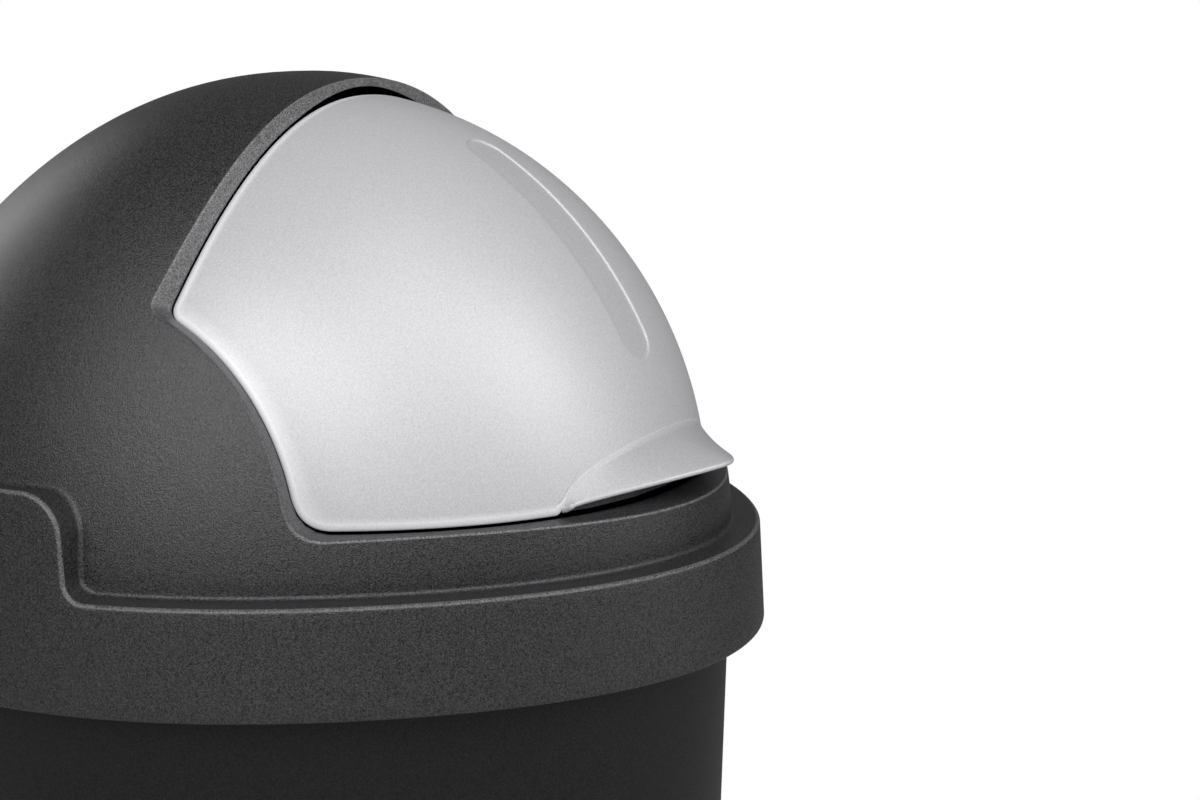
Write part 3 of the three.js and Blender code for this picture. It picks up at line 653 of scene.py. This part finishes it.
def half_outline(step):
    """Right half of the cover's outline. Its bottom edge steps up to the arch of the lip."""
    swing = np.clip(step, 0, 1) * math.radians(80)
    arch_x, arch_z = lip_half * np.sin(swing), lip_foot + lip_arch * np.cos(swing)
    share = np.clip(step - 1, 0, 1)
    curl_x = bend(arch_x[-1], lip_half + 0.3 * mm, foot_x, share)
    curl_z = bend(arch_z[-1], sill_rise, sill_rise, share)
    flat_to = outline(np.array([1.0]), cover_grow, 0.0, 0.0)[0][0]
    flat_x = mix(foot_x, flat_to, np.clip(step - 2, 0, 1))
    x, angle = outline(np.clip(step - 2, 1, 5), cover_grow, 0.0, 0.0)
    low = step < 3
    low_x = np.select([step <= 1, step < 2], [arch_x, curl_x], flat_x)
    low_z = np.select([step <= 1, step < 2], [arch_z, curl_z], sill_rise)
    return np.where(low, low_x, x), np.where(low, level_angle(low_x, low_z, 0.0), angle)


def both_halves(x, angle):
    """The right half and its mirror image, as one loop."""
    return np.concatenate([x, -x[-2:0:-1]]), np.concatenate([angle, angle[-2:0:-1]])


edge_x, edge_angle = half_outline(flap_steps)
reach = np.concatenate([[0], np.cumsum(np.hypot(np.diff(edge_x),
                                                np.diff(edge_angle) * barrel_reach))])
share = reach / reach[-1]
strip_half, strip_low, strip_high = 9.2 * mm, math.radians(24), math.radians(62.5)
edge_roll, edge_drop = 2.9 * mm, 0.8 * mm
strip_deep, strip_foot, strip_edge = 0.7 * mm, 0.25 * mm, 0.45 * mm


def strip(inset):
    """The strip's outline with its round ends, moved inwards by an inset."""
    half = strip_half - inset
    end = strip_half / barrel_reach
    side = (strip_high - strip_low - 2 * end) * barrel_reach
    run = share * (side + math.pi * strip_half)
    quarter = math.pi / 2 * strip_half
    low = np.clip(run / quarter, 0, 1) * math.pi / 2
    high = np.clip((run - quarter - side) / quarter, 0, 1) * math.pi / 2
    x = half * np.where(run < quarter, np.sin(low), np.cos(high))
    angle = (strip_low + end - half / barrel_reach * np.cos(low)
             + np.clip(run - quarter, 0, side) / barrel_reach
             + half / barrel_reach * np.sin(high))
    return both_halves(x, angle)


edge_x, edge_angle = both_halves(edge_x, edge_angle)


def barrel_frame(x, angle):
    """On the barrel's skin: the place, the way out of it, and the way out across the edge."""
    place = over_barrel(x, angle, 0.0)
    nx, nr = barrel_normal(x)
    out = points(nx, -nr * np.cos(angle), nr * np.sin(angle))
    ahead = np.roll(place, -1, axis=0) - np.roll(place, 1, axis=0)
    ahead /= np.linalg.norm(ahead, axis=1)[:, None]
    return place, out, np.cross(ahead, out)


edge_place, edge_out, edge_across = barrel_frame(edge_x, edge_angle)
# The strip's floor and its rounded foot and edge.
middle = strip(strip_half)
cover = [over_barrel(*middle, -strip_deep)]
for k in range(1, 7):
    cover.append(over_barrel(*strip(strip_half * (1 - k / 6) + 0.5 * mm), -strip_deep))
for a in bends[::2]:
    cover.append(over_barrel(*strip(strip_foot * (1 - math.sin(a))),
                             -strip_deep + strip_foot * (1 - math.cos(a))))
for a in bends[::-2]:
    cover.append(over_barrel(*strip(-strip_edge * (1 - math.sin(a))),
                             -strip_edge * (1 - math.cos(a))))
# The skin rolls in at its edge all round, except along the arch, where the lip's top runs on.
roll = both_halves(flap_steps, smooth((flap_steps - 0.9) / 0.5))[1][:, None]
band, drop = edge_roll * (0.1 + 0.9 * roll), edge_drop * roll
turn_in = edge_place - edge_across * band
skin_x = turn_in[:, 0]
skin_angle = np.arctan2(turn_in[:, 2] - hinge_z, hinge_y - turn_in[:, 1])
from_x, from_angle = strip(-strip_edge)
for k in range(1, 45):
    cover.append(over_barrel(mix(from_x, skin_x, k / 44), mix(from_angle, skin_angle, k / 44),
                             0.0))
rolled = len(cover)
for a in np.linspace(0, math.pi / 2, 10)[1:]:
    cover.append(edge_place - edge_across * band * (1 - math.sin(a))
                 - edge_out * drop * (1 - math.cos(a)))
# The edge's thickness and the hidden back.
cover.append(edge_place - edge_out * cover_wall)
cover.append(edge_place - edge_out * cover_wall - edge_across * 0.5 * mm)
for k in range(1, 13):
    cover.append(over_barrel(mix(edge_x - edge_across[:, 0] * 2 * mm, middle[0] * 0, k / 12),
                             mix(edge_angle, middle[1], k / 12), -cover_wall))
# The rolled edge is painted lighter than the skin as a highlight, and the strip's floor is a little
# darker.
cover_tone_and_highlight = np.zeros(len(cover))
cover_tone_and_highlight[:8] = -0.15
cover_tone_and_highlight[rolled - 1] = 0.5
cover_tone_and_highlight[rolled:rolled + 10] = 1
piece("flap_cover", [skin(cover, tone_and_highlight=cover_tone_and_highlight)], silver, "flap", "flap_silver", "flap_shell")


# ---- Finger lip ----
# The pointed lip for the fingers, which flows out of the cover along an arch: a plate of the
# same plastic with a rounded rim, hollowed a little on top. Its greys are darker than the
# cover's, as painted shade on its slanting top, and its root bead and rim are painted lighter as
# highlights.
lip_thick, lip_front, lip_slant, lip_reach = 2 * mm, 32 * mm, 7.4 * mm, 20.3 * mm
point_round, lip_hollow, bead_radius = 7 * mm, 0.2 * mm, 0.3 * mm


def skin_y(x, z):
    """Where the cover's skin stands in front at a height."""
    return float(hinge_y - np.sqrt(barrel_radius(x) ** 2 - (z - hinge_z) ** 2))


def lip_section(x):
    """One section of the lip: a hollowed plate from the cover's wall to its rounded rim."""
    away = ((math.hypot(x, point_round) - point_round)
            / (math.hypot(lip_half, point_round) - point_round))
    arch = math.sqrt(max(0, 1 - (x / lip_half) ** 2))
    root_z = ledge_z + lip_foot + lip_arch * arch
    end_y = skin_y(lip_half, hinge_z) - 1 * mm
    front_y = mix(hinge_y - barrel_reach - lip_reach, end_y, away)
    root = Vector((skin_y(x, root_z), root_z))
    front = Vector((front_y, ledge_z + lip_front - lip_slant * away))
    way = (front - root).normalized()
    under = Vector((-way.y, way.x))
    dip = lip_hollow * min(1, (front - root).length / (10 * mm))
    upper = [root.lerp(front, k / 8) + under * dip * math.sin(math.pi * k / 8) for k in range(9)]
    rim = [front + under * lip_thick / 2 * (1 - math.cos(math.pi * k / 8))
           + way * lip_thick / 2 * math.sin(math.pi * k / 8) for k in range(1, 8)]
    lower = [point + under * lip_thick for point in reversed(upper)]
    buried = Vector((cover_wall * 0.75, -0.4 * mm))
    bead = [root + Vector((math.cos(a), math.sin(a))) * bead_radius
            for a in np.radians([75, 105, 135, 165, 195])]
    ring = [root + buried, *bead, *upper[1:], *rim, *lower, lower[-1] + buried]
    return np.array([(x, y, z) for y, z in ring])


turns = np.radians(np.linspace(-88.5, 88.5, 72))
sections = [lip_section(lip_half * math.sin(a)) for a in turns]
ends = []
for section, way in ((sections[0], -1), (sections[-1], 1)):
    centre = section.mean(axis=0)
    ends.append([centre + (section - centre) * size + np.array([way * out * mm, 0, 0])
                 for size, out in ((0.86, 0.35), (0.6, 0.6), (0.0, 0.7))])
lip = ends[0][::-1] + sections + ends[1]
# Painted highlights: the root bead and the rim take the lighter greys.
lip_painted_highlight = np.zeros((len(lip), len(lip[0]) + 1))
lip_painted_highlight[:, 1:6] = lip_painted_highlight[:, 14:22] = 1
# The cover's silver made darker as painted shade; its lighter pair, the cover's own greys, paints
# the highlights.
lip_silver_painted_shade = moulded("lip_silver_painted_shade", grey(180, cool), grey(202, cool), 0.42 * mm, 0.46, 0.25,
                     metallic=0.2, tone_and_highlight=(grey(196, cool), grey(216, cool)))
piece("finger_lip", [skin(lip, tone_and_highlight=lip_painted_highlight)], lip_silver_painted_shade, "flap", "flap_silver", "flap_shell")


# ---- Studio ----
# A pale floor and soft lights, all at the same distance: strong ones on the left and at the
# front, and weaker ones between them, above, low in front and low behind, as for a product
# photograph on white.
target, lamp_away, fill_light = Vector((0, 0, 0.55)), 1.9, 0.12


def softbox(name, round_from_x, rise, power, wide=0.95):
    """A soft light that faces the target from a bearing and a rise in degrees."""
    lamp = bpy.data.lights.new(name, "AREA")
    lamp.shape, lamp.size, lamp.size_y, lamp.energy = "RECTANGLE", wide, 0.95, power
    thing = bpy.data.objects.new(name, lamp)
    way = Vector((math.cos(math.radians(round_from_x)), math.sin(math.radians(round_from_x)),
                  math.tan(math.radians(rise)))).normalized()
    thing.location = target + way * lamp_away
    thing.rotation_euler = way.to_track_quat("Z", "Y").to_euler()
    thing.visible_camera = False
    bpy.context.collection.objects.link(thing)


softbox("left", 180, 33, 13.2)
softbox("between", 225, 34, 5.5, wide=1.5)
softbox("front", 270, 32, 9.5)
softbox("sheen", 208, 24, 4, wide=0.4)
softbox("low", 284, 10, 4)
softbox("top", 240, 58, 5)
softbox("rear", 75, 14, 4)
softbox("rear_left", 140, 10, 0.7, wide=1.6)

world = bpy.data.worlds.new("studio")
bpy.context.scene.world = world
world.use_nodes = True
tree = world.node_tree
tree.nodes["Background"].inputs["Color"].default_value = (1, 1, 1, 1)
path = Shade(tree).node("LightPath", out="Is Camera Ray")
level = path + (1 - path) * fill_light
tree.links.new(level.socket, tree.nodes["Background"].inputs["Strength"])

floor_mesh = bmesh.new()
bmesh.ops.create_circle(floor_mesh, cap_ends=True, segments=96, radius=9)
made = bpy.data.meshes.new("floor")
floor_mesh.to_mesh(made)
floor_mesh.free()
ground = bpy.data.objects.new("floor", made)
bpy.context.collection.objects.link(ground)
paint = bpy.data.materials.new("floor_white")
paint.use_nodes = True
tree = paint.node_tree
matt = tree.nodes["Principled BSDF"]
matt.inputs["Base Color"].default_value = (0.55, 0.55, 0.55, 1)
matt.inputs["Roughness"].default_value = 0.9
path = Shade(tree).node("LightPath", out="Is Camera Ray")
place = path.node("TexCoord", out="Object")
away = path.node("VectorMath", {"operation": "LENGTH"}, {0: place}, out="Value")
clear = path.node("MapRange", {"interpolation_type": "SMOOTHSTEP"},
                  {"Value": away, "From Min": 0.3, "From Max": 0.85, "To Min": 0.7})
glow = path.node("Emission", None, {"Color": (1, 1, 1, 1), "Strength": 1.0})
blend = path.node("MixShader", None, {0: path * clear, 1: Shade(tree, matt.outputs[0]), 2: glow})
tree.links.new(blend.socket, tree.nodes["Material Output"].inputs["Surface"])
made.materials.append(paint)

bpy.context.scene.view_settings.view_transform = "Standard"
